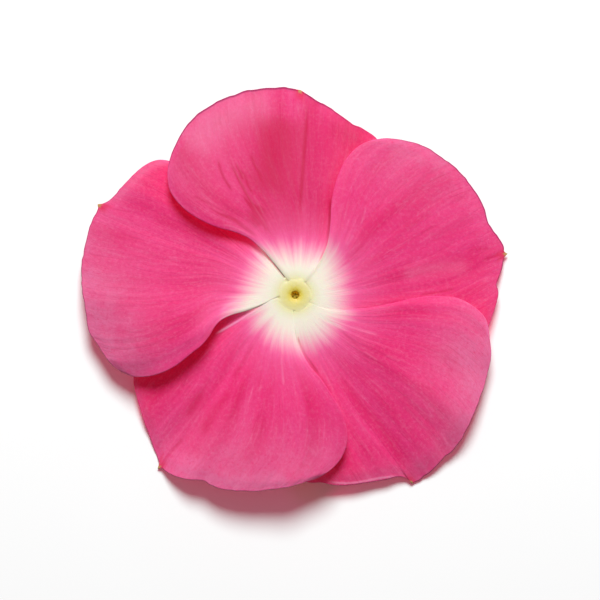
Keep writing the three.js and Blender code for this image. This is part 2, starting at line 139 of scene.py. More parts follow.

# The folds and streaks of each lobe, in the order of LOBES: strength, width and the points along each. Above
# 0 they are crests with a painted highlight and below 0 creases with painted shade, some of it the shade
# along an edge that laps another lobe; both fade towards their ends.
FOLDS = ((
    (-0.45, 0.2, (1.5, 23.25), (1.26, 19.47), (0.97, 15.93), (0.73, 12.39), (0.55, 9.09)),
    (-0.65, 0.16, (-9.06, 16.28), (-8.94, 15.22), (-8.41, 13.81), (-7.71, 12.63), (-7.35, 11.92)),
    (-0.65, 0.16, (-8.06, 16.17), (-7.35, 14.99), (-6.53, 13.33), (-5.7, 11.8), (-4.64, 10.03),
        (-3.81, 8.85), (-2.99, 7.32), (-2.28, 6.37)),
    (-0.55, 0.14, (-7, 15.58), (-6.53, 14.51), (-6.05, 13.33)),
    (-0.6, 0.14, (-6.41, 12.04), (-5.58, 10.86), (-4.64, 9.56), (-3.81, 8.38), (-3.22, 6.96)),
    (0.18, 0.13, (-7.82, 15.93), (-7, 14.51), (-6.17, 12.74), (-5.35, 11.33), (-4.52, 9.91), (-3.69, 8.61),
        (-2.87, 7.08)),
    (0.15, 0.13, (-7.23, 16.4), (-6.53, 14.75), (-5.82, 13.33)),
    (0.2, 0.14, (-5.11, 11.92), (-4.28, 10.62), (-3.58, 9.2)),
    (0.12, 0.14, (-4.05, 11.92), (-3.1, 10.5), (-2.28, 8.73)),
    (-0.5, 0.18, (-10.66, 10.74), (-9.36, 9.79), (-8.18, 9.14), (-7, 8.61), (-5.94, 7.79), (-4.87, 7.08),
        (-3.93, 6.49)),
    (-0.4, 0.14, (-5.23, 16.71), (-4.92, 15.48), (-4.31, 14.41), (-3.81, 13.1)),
    (-0.4, 0.14, (-6.76, 14.87), (-5.99, 14.1), (-5.53, 12.86), (-4.87, 11.68)),
    (-0.35, 0.15, (-12.43, 11.65), (-11.36, 11.33), (-9.36, 10.27), (-7.38, 9.35)),
    (-0.4, 0.15, (-9.06, 9.65), (-7.38, 9.04), (-5.99, 8.12), (-4.31, 6.73)),
    (0.22, 0.16, (-8.76, 8.26), (-7.38, 8), (-6.15, 7.47), (-4.87, 6.67)),
    (0.3, 3.2, (-13.02, 15.9), (-10.66, 18.88), (-8.3, 21), (-4.76, 22.54), (-1.22, 23.36)),
    (-0.35, 2.4, (-2.16, 22.42), (-2.4, 20.06), (-2.75, 17.11), (-3.22, 14.16), (-3.93, 11.21)),
    (-0.5, 0.9, (-3.93, 10.62), (-4.64, 9.2), (-3.93, 7.91)),
    (-1.3, 0.17, (4.21, 11.8), (4.12, 10.62), (4.07, 9.56), (4.04, 8.5), (3.91, 7.32), (3.73, 6.37),
        (3.5, 5.55), (3.19, 4.72), (2.74, 3.89), (2.32, 3.3)),
    (-0.22, 2.5, (-13.61, 18.29), (-13.13, 14.75), (-11.84, 11.21), (-10.3, 9.09)),
    (-0.3, 2.0, (-0.63, 23.36), (2.91, 22.07), (6.45, 19.71), (9.05, 17.58)),
    (-0.5, 6.3, (0.08, 22.42), (-0.63, 15.93), (-1.33, 9.44), (-1.33, 5.31)),
), (
    (-0.6, 0.45, (-5.82, -1.42), (-6.88, -1.89), (-8.06, -2.42), (-9.12, -3.19), (-10.07, -4.48),
        (-11.25, -5.9)),
    (0.5, 0.22, (-9, -2.12), (-7.94, -1.3), (-6.76, -0.77), (-5.35, -0.59)),
    (-0.3, 0.15, (-22.93, 10.5), (-20.92, 10.03), (-18.33, 9.56)),
    (-0.3, 1.2, (-17.15, 9.44), (-13.02, 7.43), (-9.48, 5.55)),
    (0.24, 0.75, (-13.6, 15.6), (-15.26, 15.69), (-16.32, 15.58), (-17.26, 15.1), (-18.21, 14.4),
        (-19.15, 13.45), (-20.1, 12.51), (-21.4, 11.4), (-23, 10.5)),
), (
    (1, 0.15, (-3.93, -1.53), (-5.35, -2.24), (-6.76, -3.07), (-8.18, -3.89), (-9.71, -4.78)),
    (0.3, 0.18, (-1.69, -6.49), (-1.51, -8.85), (-1.33, -10.97)),
    (0.2, 0.16, (-3.93, -10.38), (-4.28, -11.56)),
    (-0.4, 0.4, (-4.64, -5.31), (-6.17, -7.91), (-7.71, -10.27)),
    (-0.4, 0.7, (-7, -10.62), (-9.48, -13.81), (-11.25, -16.87)),
    (-0.35, 0.5, (-5.82, -9.44), (-6.76, -12.39), (-7.94, -15.34)),
    (-0.35, 0.5, (-9.59, -9.09), (-11.25, -11.8), (-13.02, -14.75)),
    (0.07, 0.9, (-3.93, -6.49), (-4.87, -10.62), (-5.35, -14.75), (-5.35, -18.88)),
    (-0.4, 0.2, (-13.02, -16.76), (-14.79, -18.64), (-15.97, -20.06)),
    (-0.3, 2.1, (-10.9, -10.4), (-11.5, -13.5), (-12, -16.5), (-12.2, -20)),
), (
    (-0.5, 0.17, (2.56, -2.42), (4.09, -3.24), (5.51, -4.37), (6.69, -5.43), (7.87, -6.37)),
    (0.34, 0.24, (4.21, -2.95), (5.27, -3.42), (6.69, -3.83), (8.34, -4.31), (10.11, -4.78)),
    (0.26, 0.16, (7.87, -6.49), (8.81, -7.08), (9.88, -7.85)),
    (0.2, 0.16, (10.47, -6.96), (11.41, -7.38), (12.47, -7.85)),
    (-0.3, 0.2, (2.32, -4.6), (3.15, -6.14), (4.21, -7.67)),
    (-1.2, 0.16, (0.2, -4.3), (0.44, -5.43), (1.03, -6.84), (1.97, -8.26), (2.91, -9.44)),
    (-0.45, 0.17, (1.03, -6.84), (1.97, -8.26), (3.27, -10.03), (4.45, -11.92)),
    (-0.35, 0.5, (4.45, -7.91), (5.86, -10.27), (7.63, -12.74), (9.64, -14.87), (10.94, -16.87),
        (12.35, -19.12), (13.53, -21.24)),
    (0.2, 0.4, (0.79, -5.31), (1.5, -6.49), (2.21, -7.91)),
    (-0.2, 0.6, (9.05, -9.79), (12.12, -12.39), (15.3, -15.34)),
    (0.5, 0.16, (3.15, -21.95), (5.86, -22.24), (7.87, -22.07), (9.99, -21.65), (12.83, -21.36)),
), (
    (-0.6, 0.17, (14.24, -0.06), (15.89, 0.18), (17.66, 0.47), (19.2, 0.89)),
    (-0.4, 0.16, (8.22, 6.14), (7.04, 4.96), (5.86, 4.01)),
    (-0.4, 0.16, (7.87, 4.6), (6.45, 3.78), (5.27, 3.19)),
    (-0.45, 0.16, (7.63, 3.42), (5.86, 2.6), (4.33, 1.89), (3.27, 1.42)),
    (-0.35, 0.16, (6.45, 8.26), (5.98, 7.08), (5.63, 6.14)),
    (0.15, 0.16, (6.81, 15.34), (6.1, 14.16), (5.63, 12.39), (5.27, 10.86)),
    (0.2, 0.16, (8.34, 10.74), (8.11, 9.44), (7.52, 7.91)),
    (0.25, 0.25, (6.93, 7.2), (6.45, 6.49), (5.86, 5.66)),
    (0.2, 0.18, (7.87, 6.25), (6.93, 5.55), (5.98, 4.84)),
    (-0.3, 0.5, (16.37, 10.03), (14.48, 8.73), (12.24, 7.79)),
    (-0.25, 1, (20.85, 9.68), (18.02, 7.67), (15.3, 6.49)),
    (-0.6, 0.2, (24.27, 4.84), (23.21, 4.48), (22.03, 4.13)),
    (0.22, 1.2, (11.76, 2.12), (15.3, 2.95), (18.25, 3.3), (21.56, 3.19)),
    (-0.4, 0.2, (23.68, 5.43), (21.79, 5.43), (20.02, 5.19)),
    (-0.25, 0.17, (14.12, 4.01), (12.35, 3.3), (10.58, 2.71)),
))
FOLD_HEIGHT = 0.05  # of a fold of strength 1
# folds this wide or wider have no relief and are only painted shade or painted highlight
FLAT_FOLD = 0.3  # folds this wide or wider are only a change of colour
FOLD_FADE = 0.2  # share of a fold's length over which each end fades

# ---- sizes of the fine model ----

BLADE = 0.28  # petal thickness
CLAW_BLADE = 0.5  # thickness where the lobes join the throat
CLAW_FROM, CLAW_TO = 6, 2.5  # distances from the throat between which a blade thickens so
MARGIN = 0.16  # width over which a petal's edge is rounded off
CLAW_START = 1.45  # the lobes begin under the rim of the mouth
ACROSS, ALONG = 180, 180  # grid of a lobe
CLOSE_STEPS = np.array((0, 0.0007, 0.0021, 0.0042))  # the grid's first steps at a rounded edge
CLOSE_END = 0.007  # where its even steps take over
RAGGED = ((0.14, 9, 13), (0.09, 16, 11), (0.07, 45, 12))  # nicks: depth, number to a radian, seed
MUCRO_WIDTH = 0.22
WAVE_HEIGHT, WAVE_LENGTH = 0.12, 4.5
RIPPLE_HEIGHT, RIPPLE_TURN = 0.16, 7  # of the outer margin; the turn is in degrees
OUTER_CURL, SIDE_CURL = 0.22, 0.1  # how far the outer and the counter-clockwise margin turn down
VEINS = ((0.045, 26, 1.5, 51), (0.025, 70, 2.5, 61))  # height, number across and along, seed


# ---- numbers ----

def smooth(low, high, x):
    """0 at low and 1 at high, eased at both ends."""
    t = np.clip((x - low) / (high - low), 0, 1)
    return t * t * (3 - 2 * t)


def noise(x, y, seed):
    """Smooth noise from -1 to 1 with cells one unit wide."""
    size = 256
    table = np.random.default_rng(seed).uniform(-1, 1, (size, size))
    x, y = np.broadcast_arrays(np.asarray(x, float), np.asarray(y, float))
    i, j = np.floor(x).astype(int), np.floor(y).astype(int)
    s, t = smooth(0, 1, x - i), smooth(0, 1, y - j)
    i0, i1, j0, j1 = i % size, (i + 1) % size, j % size, (j + 1) % size
    low = table[i0, j0] * (1 - s) + table[i1, j0] * s
    high = table[i0, j1] * (1 - s) + table[i1, j1] * s
    return low * (1 - t) + high * t


def spline(points, steps=40):
    """Dense points on the centripetal Catmull-Rom curve through the given ones, steps to a span."""
    p = np.array(points, float)
    p = np.vstack([2 * p[0] - p[1], p, 2 * p[-1] - p[-2]])
    out = []
    for k in range(1, len(p) - 2):
        level = p[k - 1:k + 3]
        knots = np.cumsum([0, *(norm(b - a) ** 0.5 for a, b in zip(level, level[1:]))])
        t = np.linspace(knots[1], knots[2], steps, endpoint=False)[:, None]
        for spans in (((0, 1), (1, 2), (2, 3)), ((0, 2), (1, 3)), ((1, 2),)):
            ends = [(knots[i], knots[j]) for i, j in spans]
            level = [(end - t) / (end - start) * a + (t - start) / (end - start) * b
                     for (start, end), a, b in zip(ends, level, level[1:])]
        out.append(level[0])
    return np.vstack([*out, p[-2][None]])


def along(points, shares):
    """The points at these shares of a polyline's length."""
    run = np.concatenate([[0], np.cumsum(norm(np.diff(points, axis=0), axis=1))])
    return np.stack([np.interp(np.asarray(shares) * run[-1], run, axis) for axis in points.T], axis=-1)


def near(points, x, y):
    """Distance from each place to a polyline, and the share of its length at the nearest point."""
    points = np.asarray(points, float)
    lengths = norm(np.diff(points, axis=0), axis=1)
    starts = np.concatenate([[0], np.cumsum(lengths)])
    best, share = np.full(x.shape, np.inf), np.zeros(x.shape)
    for (ax, ay), (bx, by), length, start in zip(points, points[1:], lengths, starts):
        t = np.clip(((x - ax) * (bx - ax) + (y - ay) * (by - ay)) / length ** 2, 0, 1)
        away = np.hypot(x - ax - t * (bx - ax), y - ay - t * (by - ay))
        closer = away < best
        best = np.where(closer, away, best)
        share = np.where(closer, (start + t * length) / starts[-1], share)
    return best, share


# ---- meshes ----

def link(thing):
    bpy.context.scene.collection.objects.link(thing)


def add_mesh(name, points, faces, materials, node, face_materials=None, maps=None):
    """A smooth object of these points, in millimetres about the throat, standing for a CAD node."""
    mesh = bpy.data.meshes.new(name)
    mesh.from_pydata(((np.asarray(points) + THROAT) * MM).tolist(), [], [list(map(int, f)) for f in faces])
    for label, corners in (maps or {}).items():
        mesh.uv_layers.new(name=label).uv.foreach_set("vector", np.asarray(corners, np.float32).ravel())
    for material in materials:
        mesh.materials.append(material)
    if face_materials is not None:
        mesh.polygons.foreach_set("material_index", np.asarray(face_materials, np.int32))
    mesh.polygons.foreach_set("use_smooth", np.ones(len(mesh.polygons), bool))
    mesh.validate()
    mesh.update()
    piece = bpy.data.objects.new(name, mesh)
    link(piece)
    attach(piece, ROOT)
    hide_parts(node)
    return piece


def full_turn(sides):
    """This many even angles round a circle."""
    return np.arange(sides) * 2 * np.pi / sides


def circle(sides, radius_at, height):
    angle = full_turn(sides)
    radius = radius_at(angle) * np.ones(sides)
    return np.stack([np.cos(angle) * radius, np.sin(angle) * radius, np.full(sides, float(height))], -1)


def loft(rings, closed=False):
    """Points and faces of a skin through rings, each counter-clockwise about the run's direction."""
    rings = np.asarray(rings, float)
    count, sides = rings.shape[:2]
    points = list(rings.reshape(-1, 3))
    faces = []
    for i in range(count if closed else count - 1):
        here, there = i * sides, (i + 1) % count * sides
        for j in range(sides):
            k = (j + 1) % sides
            faces.append((here + j, here + k, there + k, there + j))
    if not closed:
        for ring, step in ((0, -1), (count - 1, 1)):
            points.append(rings[ring].mean(axis=0))
            for j in range(sides):
                edge = (ring * sides + j, ring * sides + (j + 1) % sides)
                faces.append((len(points) - 1, *edge[::step]))
    return np.array(points), faces


def gathered(skins):
    """The points and faces of several skins as those of one."""
    points, faces = [], []
    for skin_points, skin_faces in skins:
        faces += [[k + len(points) for k in face] for face in skin_faces]
        points += np.asarray(skin_points).tolist()
    return points, faces


# ---- materials ----

class Look:
    """A Principled material with helpers that add nodes and return their output sockets."""

    def __init__(self, name):
        self.material = bpy.data.materials.new(name)
        self.material.use_nodes = True
        self.tree = self.material.node_tree
        self.shader = self.tree.nodes["Principled BSDF"]

    def node(self, kind, output=0, settings=None, **inputs):
        """Adds a ShaderNode; inputs go by name, with _ for a space, or by place as i0, i1 and so on."""
        node = self.tree.nodes.new("ShaderNode" + kind)
        for key, value in (settings or {}).items():
            setattr(node, key, value)
        for key, value in inputs.items():
            self.feed(node.inputs[int(key[1:]) if key[0] == "i" else key.replace("_", " ")], value)
        return node.outputs[output]

    def feed(self, socket, value):
        if isinstance(value, bpy.types.NodeSocket):
            self.tree.links.new(value, socket)
        else:
            socket.default_value = value

    def math(self, operation, a, b=0.0):
        return self.node("Math", settings=dict(operation=operation), i0=a, i1=b)

    def add(self, a, b):
        return self.math("ADD", a, b)

    def times(self, a, b):
        return self.math("MULTIPLY", a, b)

    def remap(self, value, low, high, to_low=0.0, to_high=1.0):
        """value eased from low..high to to_low..to_high."""
        return self.node("MapRange", settings=dict(interpolation_type="SMOOTHSTEP"),
                         i0=value, i1=low, i2=high, i3=to_low, i4=to_high)

    def mix(self, share, a, b):
        """Colour a where share is 0, colour b where it is 1."""
        rgba = [c if isinstance(c, bpy.types.NodeSocket) else (*c, 1.0) for c in (a, b)]
        return self.node("Mix", output=2, settings=dict(data_type="RGBA"),
                         i0=share, i6=rgba[0], i7=rgba[1])

    def over(self, colour, *layers):
        """The colour with others laid over it one by one, each as (share, colour)."""
        for share, layer in layers:
            colour = self.mix(share, colour, layer)
        return colour

    def ramp(self, value, stops):
        """The colour at this value between stops of (value, colour), with values from 0 to 1."""
        node = self.node("ValToRGB", i0=value).node
        marks = node.color_ramp.elements
        while len(marks) < len(stops):
            marks.new(0.5)
        for mark, (at, colour) in zip(marks, stops):
            mark.position = at
            mark.color = (*colour, 1.0)
        return node.outputs[0]

    def radius(self):
        """Distance in plan from the throat axis, in millimetres."""
        x, y, _ = self.split(self.place())
        return self.math("SQRT", self.add(self.times(x, x), self.times(y, y)))

    def uv(self, name):
        return self.node("UVMap", settings=dict(uv_map=name))

    def split(self, vector):
        return self.node("SeparateXYZ", i0=vector).node.outputs

    def scaled(self, vector, scale, shift=(0, 0, 0)):
        return self.node("VectorMath", settings=dict(operation="MULTIPLY_ADD"),
                         i0=vector, i1=scale, i2=shift)

    def dimmed(self, colour, share):
        """The colour times one number."""
        return self.scaled(colour, self.node("CombineXYZ", X=share, Y=share, Z=share))

    def noise(self, vector, scale=1, detail=2, roughness=0.5):
        return self.node("TexNoise", Vector=vector, Scale=scale, Detail=detail, Roughness=roughness)

    def swing(self, noise, size):
        """A noise from 0 to 1 made to swing about 0."""
        return self.times(self.add(noise, -0.5), size)

    def ridge(self, vector, width):
        """Thin wavy lines, 1 on the line and 0 this far off it."""
        away = self.math("ABSOLUTE", self.add(self.noise(vector, detail=1), -0.5))
        return self.remap(away, 0, width, 1, 0)

    def place(self):
        """The place on the object in millimetres about the throat."""
        return self.scaled(self.node("TexCoord", output=3), (1 / MM,) * 3, tuple(-THROAT))

    def finish(self, colour, roughness, **values):
        self.feed(self.shader.inputs["Base Color"], colour)
        self.feed(self.shader.inputs["Roughness"], roughness)
        for key, value in values.items():
            self.shader.inputs[key.replace("_", " ")].default_value = value
        return self.material

    def let_light_through(self, tint):
        """Lets the lamp's light through each face with this tint, so that its shade is coloured."""
        clear = self.node("BsdfTransparent", Color=tint)
        lamp_ray = self.node("LightPath", output="Is Shadow Ray")
        mixed = self.node("MixShader", i0=lamp_ray, i1=self.shader.outputs[0], i2=clear)
        self.feed(self.tree.nodes["Material Output"].inputs["Surface"], mixed)

    def bump(self, height, distance, strength=1.0):
        """Bumps of this height socket times a distance in millimetres."""
        normal = self.node("Bump", Height=height, Distance=distance * MM, Strength=strength)
        self.feed(self.shader.inputs["Normal"], normal)


def srgb(red, green, blue):
    """Linear colour of an sRGB one given from 0 to 255."""
    values = np.array((red, green, blue)) / 255
    return tuple(np.where(values <= 0.04045, values / 12.92, ((values + 0.055) / 1.055) ** 2.4))


PETAL_MID = srgb(228, 64, 131)
PETAL_DEEP = srgb(221, 45, 113)
# a paler pink for the outer parts: partly a paler margin, partly painted sheen
PETAL_PALE_SHEEN = srgb(222, 107, 153)  # of the outer parts
# painted shade: a deeper pink near the clockwise side, where the lobe above laps it
LAPPED_SHADE_PINK = srgb(245, 41, 107)  # near the clockwise side, which another lobe laps and shades
PETAL_HALO = srgb(238, 116, 174)  # between the pink and the cream
# pale veins, feathering and grain, and the painted highlight on the crests of folds
PALE_LINE_AND_HIGHLIGHT = srgb(242, 166, 202)
# dark veins, and painted shade in the creases within the cream
VEIN_DARK_AND_CREASE_SHADE = srgb(196, 20, 82)
# painted shade in creases and along edges that lap another lobe
FOLD_SHADE = srgb(198, 12, 72)
# painted shade of the rolled margin, a thin dark line along the edge
MARGIN_SHADE = srgb(132, 20, 74)
MUCRO_RED = srgb(206, 30, 62)
MUCRO_TAN = srgb(176, 150, 92)
CREAM = srgb(232, 223, 211)
SEAM_SHADE = srgb(176, 158, 134)  # along the lobes' edges in the cream
# Colours about the throat by distance from its axis in millimetres.
EYE_COLOURS = (
    (0.4, srgb(190, 150, 26)), (0.6, srgb(212, 188, 58)), (0.85, srgb(214, 198, 92)),
    (1.1, srgb(215, 204, 122)), (1.5, srgb(217, 208, 142)), (1.9, srgb(224, 219, 171)),
    (2.4, srgb(226, 222, 195)), (3.0, srgb(230, 225, 209)), (3.9, CREAM))
UNDER_MID, UNDER_PALE = srgb(214, 86, 134), srgb(226, 122, 160)
UNDER_FEATHER, UNDER_VEIN = srgb(206, 66, 118), srgb(196, 48, 104)
UNDER_CREAM = srgb(230, 216, 196)
# the rim's grain, and painted shade for the pits where two lobes meet it
RIM_GRAIN, RIM_PIT_SHADE = srgb(222, 206, 128), srgb(156, 148, 84)

# Tints of the lamp's light after one face of a petal's pink, of its cream, and of the rim.
PINK_PASSES, CREAM_PASSES = (1.0, 0.15, 0.4), (1.0, 0.82, 0.86)
RIM_PASSES = (0.9, 0.66, 0.12, 1.0)
PETAL_ROUGHNESS = 0.55
PETAL_BODY = dict(Specular_IOR_Level=0.1, Sheen_Weight=0.02, Sheen_Roughness=0.5, Subsurface_Weight=0.15,
                  Subsurface_Radius=(1.0, 0.15, 0.35), Subsurface_Scale=0.25 * MM, Diffuse_Roughness=0.85)
PETAL_BUMP = 0.06

# Scales of a petal's noises across and along its veins, for which a lobe is one unit wide and long.
BANDS, STREAKS, FEATHER = (9, 1.4, 1), (15, 1.6, 1), (56, 4.0, 1)
LINES, NET, CHOICE = (30, 2.2, 1), (60, 24, 1), (14, 5.0, 1)
UNDER_FEATHERS, UNDER_LINES = (75, 3.0, 1), (30, 3.5, 1)


def eye_colour(look, radius):
    top = EYE_COLOURS[-1][0]
    return look.ramp(look.times(radius, 1 / top), [(at / top, colour) for at, colour in EYE_COLOURS])


def petal_tint(look, radius):
    """Tint of the light after one face of a petal: the share in "Thin" passes, and more at the claws."""
    tint = look.mix(look.remap(radius, 6, 10.5, 1, 0), PINK_PASSES, CREAM_PASSES)
    thin, _, _ = look.split(look.uv("Thin"))
    return look.dimmed(tint, look.math("MAXIMUM", thin, look.remap(radius, 4, 8, 0.95, 0)))


def petal_ground(look):
    """What a petal's colour is worked out from: its UV maps and its noises."""
    on = SimpleNamespace(radius=look.radius())
    on.across, on.up, _ = look.split(look.uv("Blade"))
    on.beyond, on.inset, _ = look.split(look.uv("Star"))
    on.crease, on.crest, _ = look.split(look.uv("FoldShadeAndHighlight"))
    on.tone, on.paleness, _ = look.split(look.uv("LobeShadeAndPale"))
    _, on.pale_from, _ = look.split(look.uv("Thin"))
    veins = look.uv("Veins")
    on.bands = look.noise(look.scaled(veins, BANDS), detail=3, roughness=0.55)
    on.streaks = look.noise(look.scaled(veins, STREAKS), detail=2, roughness=0.45)
    on.feather = look.noise(look.scaled(veins, FEATHER), detail=3, roughness=0.6)
    on.lines = look.ridge(look.scaled(veins, LINES), 0.04)
    on.net = look.ridge(look.scaled(veins, NET), 0.06)
    on.choice = look.noise(look.scaled(veins, CHOICE, (7, 7, 7)), detail=1)
    place = look.place()
    on.clouds = look.noise(place, scale=0.4, detail=4, roughness=0.6)
    on.grain = look.noise(place, scale=2.6, detail=3, roughness=0.75)
    return on


def petal_fade(look, on):
    """How much the pink fades to the paler outer colour, partly painted sheen: towards the outer edge, and
    across the lobe from "pale_from" on.
    """
    side = look.remap(look.math("SUBTRACT", on.across, on.pale_from), 0, 0.45)
    side = look.add(side, look.remap(on.across, 0.85, 1, 0, -0.5))
    fade = look.times(side, look.remap(on.up, 0.55, 0.97))
    fade = look.times(look.add(fade, look.remap(on.up, 0.86, 1, 0, 0.4)), on.paleness)
    return look.times(fade, look.remap(on.clouds, 0.25, 0.7, 0.5, 1))


def petal_pink(look, on):
    """The pink with its bands, a paler outer part partly painted sheen, feathering, grain and veins, painted
    shade in creases and by the lapped side, and painted highlights on crests, all dimmed by the lobe's
    painted shade.
    """
    pink = look.over(
        PETAL_DEEP,
        (look.remap(on.bands, 0.3, 0.68), PETAL_MID),
        # painted shade near the clockwise side, under the lobe above
        (look.remap(on.across, 0.05, 0.35, 0.5, 0), LAPPED_SHADE_PINK),
        # a paler outer part, partly painted sheen
        (petal_fade(look, on), PETAL_PALE_SHEEN),
        (look.remap(on.feather, 0.5, 0.8, 0, 0.12), PALE_LINE_AND_HIGHLIGHT),
        (look.remap(on.grain, 0.45, 0.75, 0, 0.12), PALE_LINE_AND_HIGHLIGHT),
        (look.remap(on.grain, 0.45, 0.25, 0, 0.5), PETAL_DEEP),
        (look.times(on.lines, look.remap(on.choice, 0.52, 0.7, 0, 0.08)), PALE_LINE_AND_HIGHLIGHT),
        (look.times(on.lines, look.remap(on.choice, 0.48, 0.3, 0, 0.22)), VEIN_DARK_AND_CREASE_SHADE),
        (look.times(on.net, 0.1), VEIN_DARK_AND_CREASE_SHADE),
        # painted shade in creases and painted highlights on crests
        (look.remap(on.crease, 0, 1, 0, 0.8), FOLD_SHADE),
        (look.remap(on.crest, 0, 1), PALE_LINE_AND_HIGHLIGHT))
    # painted shade: the lobe's tone dims the pink most on the lobes that the lamp lights most
    return look.dimmed(pink, on.tone)


def margin_shade_share(look, on):
    """How strong a petal's margin line of painted shade is: wider but fainter towards the claw, and fainter
    at both sides.
    """
    share = look.math("DIVIDE", on.inset, look.remap(on.radius, 5, 12, 0.34, 0.17))
    share = look.times(look.remap(share, 0.2, 1, 0.85, 0), look.remap(on.across, 0.08, 0.36, 0.3, 1))
    share = look.times(share, look.remap(on.up, 0.5, 0.8, 0.6, 1))
    return look.times(share, look.remap(on.across, 0.95, 0.985, 1, 0.1))


def petal_colour(look, on):
    """The pink, then the star's halo, the margin's line of painted shade, and the cream that feathers out
    over them, with painted shade in its creases and along the lobes' edges.
    """
    ragged = look.add(look.swing(on.streaks, 2.4), look.swing(on.feather, 0.8))
    ragged = look.add(ragged, on.beyond)
    cream = look.remap(ragged, -2.4, 1.7, 1, 0)
    return look.over(
        petal_pink(look, on),
        (look.remap(ragged, 0, 6.5, 0.43, 0), PETAL_HALO),
        (look.remap(ragged, -0.8, 2.6, 0.85, 0), PETAL_HALO),
        # painted shade of the rolled margin
        (margin_shade_share(look, on), MARGIN_SHADE),
        (cream, eye_colour(look, on.radius)),
        # painted shade in creases within the cream
        (look.times(cream, look.remap(on.crease, 0.3, 1.2, 0, 0.6)), VEIN_DARK_AND_CREASE_SHADE),
        (look.times(cream, look.remap(on.inset, 0, 0.45, 0.5, 0)), SEAM_SHADE))


def petal_tip(look, on, colour):
    """The colour with a red blush and a tan point at the end of the midrib."""
    off_rib = look.math("ABSOLUTE", look.add(on.across, -MIDRIB))
    blush = look.times(look.remap(off_rib, 0.004, 0.03, 0.6, 0), look.remap(on.up, 0.94, 0.985))
    point = look.times(look.remap(off_rib, 0.003, 0.01, 0.9, 0), look.remap(on.up, 0.98, 0.993))
    return look.over(colour, (blush, MUCRO_RED), (point, MUCRO_TAN))


def petal_face():
    look = Look("petal_face")
    on = petal_ground(look)
    relief = look.add(look.times(on.grain, 0.3), look.times(on.net, -0.2))
    relief = look.add(look.times(on.feather, 0.4), relief)
    look.bump(look.add(relief, look.times(on.lines, -0.3)), PETAL_BUMP, 0.6)
    look.let_light_through(petal_tint(look, on.radius))
    return look.finish(petal_tip(look, on, petal_colour(look, on)), PETAL_ROUGHNESS, **PETAL_BODY)


def petal_underside():
    look = Look("petal_underside")
    veins = look.uv("Veins")
    radius = look.radius()
    feather = look.noise(look.scaled(veins, UNDER_FEATHERS), detail=2, roughness=0.6)
    clouds = look.noise(look.place(), scale=0.5, detail=3)
    lines = look.ridge(look.scaled(veins, UNDER_LINES), 0.035)
    colour = look.over(
        UNDER_MID,
        (look.remap(clouds, 0.3, 0.7), UNDER_PALE),
        (look.remap(feather, 0.5, 0.75, 0, 0.3), UNDER_FEATHER),
        (look.times(lines, 0.35), UNDER_VEIN),
        (look.remap(radius, 5, 10, 0.95, 0), UNDER_CREAM))
    look.bump(look.add(feather, lines), PETAL_BUMP, 0.6)
    look.let_light_through(petal_tint(look, radius))
    return look.finish(colour, PETAL_ROUGHNESS, **PETAL_BODY)


def rim_look():
    look = Look("rim_yellow")
    grain = look.noise(look.place(), scale=5, detail=3, roughness=0.6)
    spread = look.add(look.radius(), look.swing(grain, 0.5))
    colour = look.mix(look.remap(grain, 0.4, 0.7, 0, 0.3), eye_colour(look, spread), RIM_GRAIN)
    colour = look.scaled(colour, (RIM_TONE,) * 3)
    to_pit = look.split(look.uv("Dots"))[0]
    # painted shade about the pits where two lobes meet the rim
    colour = look.mix(look.remap(to_pit, 0, 0.36, 0.6, 0), colour, RIM_PIT_SHADE)
    look.bump(grain, 0.03, 0.5)
    look.let_light_through(RIM_PASSES)
    return look.finish(colour, 0.5, Subsurface_Weight=0.3, Subsurface_Radius=(1.0, 0.8, 0.2),
                       Subsurface_Scale=0.3 * MM)


def plain_look(name, low, high, scale, roughness, bump, **values):
    """Two tones mottled by noise, with a fine grain."""
    look = Look(name)
    place = look.place()
    tone = look.noise(place, scale=scale, detail=4, roughness=0.6)
    colour = look.mix(look.remap(tone, 0.3, 0.7), low, high)
    look.bump(look.noise(place, scale=scale * 4, detail=3), bump, 0.6)
    return look.finish(colour, roughness, **values)


# ---- the limb ----

def edge_height(bearing):
    """Height of the limb's edge at any bearing, eased between the listed ones."""
    stops = np.array((*RIM_HEIGHTS, (RIM_HEIGHTS[0][0] + 360, RIM_HEIGHTS[0][1])), float)
    b = (bearing - stops[0, 0]) % 360 + stops[0, 0]
    i = np.clip(np.searchsorted(stops[:, 0], b, side="right"), 1, len(stops) - 1)
    (start, low), (end, high) = np.moveaxis(stops[i - 1], -1, 0), np.moveaxis(stops[i], -1, 0)
    return low + (high - low) * smooth(0, 1, (b - start) / (end - start))


def outer_edge(lobe, dense, steps, u):
    """A lobe's outer edge at each share of its width, with its ragged margin and its mucro."""
    first, last = (steps * corner for corner in lobe["corners"])
    tip = steps * lobe["mucro"]
    edge = np.where((u <= MIDRIB)[:, None], along(dense[first:tip + 1], u / MIDRIB),
                    along(dense[tip:last + 1], (u - MIDRIB) / (1 - MIDRIB)))
    reach = norm(edge, axis=1, keepdims=True)
    turn = np.unwrap(np.arctan2(edge[:, 1], edge[:, 0]))[:, None]
    ragged = sum(depth * noise(turn * pace, 0.5, seed) for depth, pace, seed in RAGGED)
    ragged = ragged * np.sin(np.pi * u[:, None]) ** 0.5
    from_tip = norm(edge - dense[tip], axis=1, keepdims=True)
    mucro = lobe["point"] * np.exp(-((from_tip / MUCRO_WIDTH) ** 2))
    return edge * (1 + (ragged + mucro) / reach)


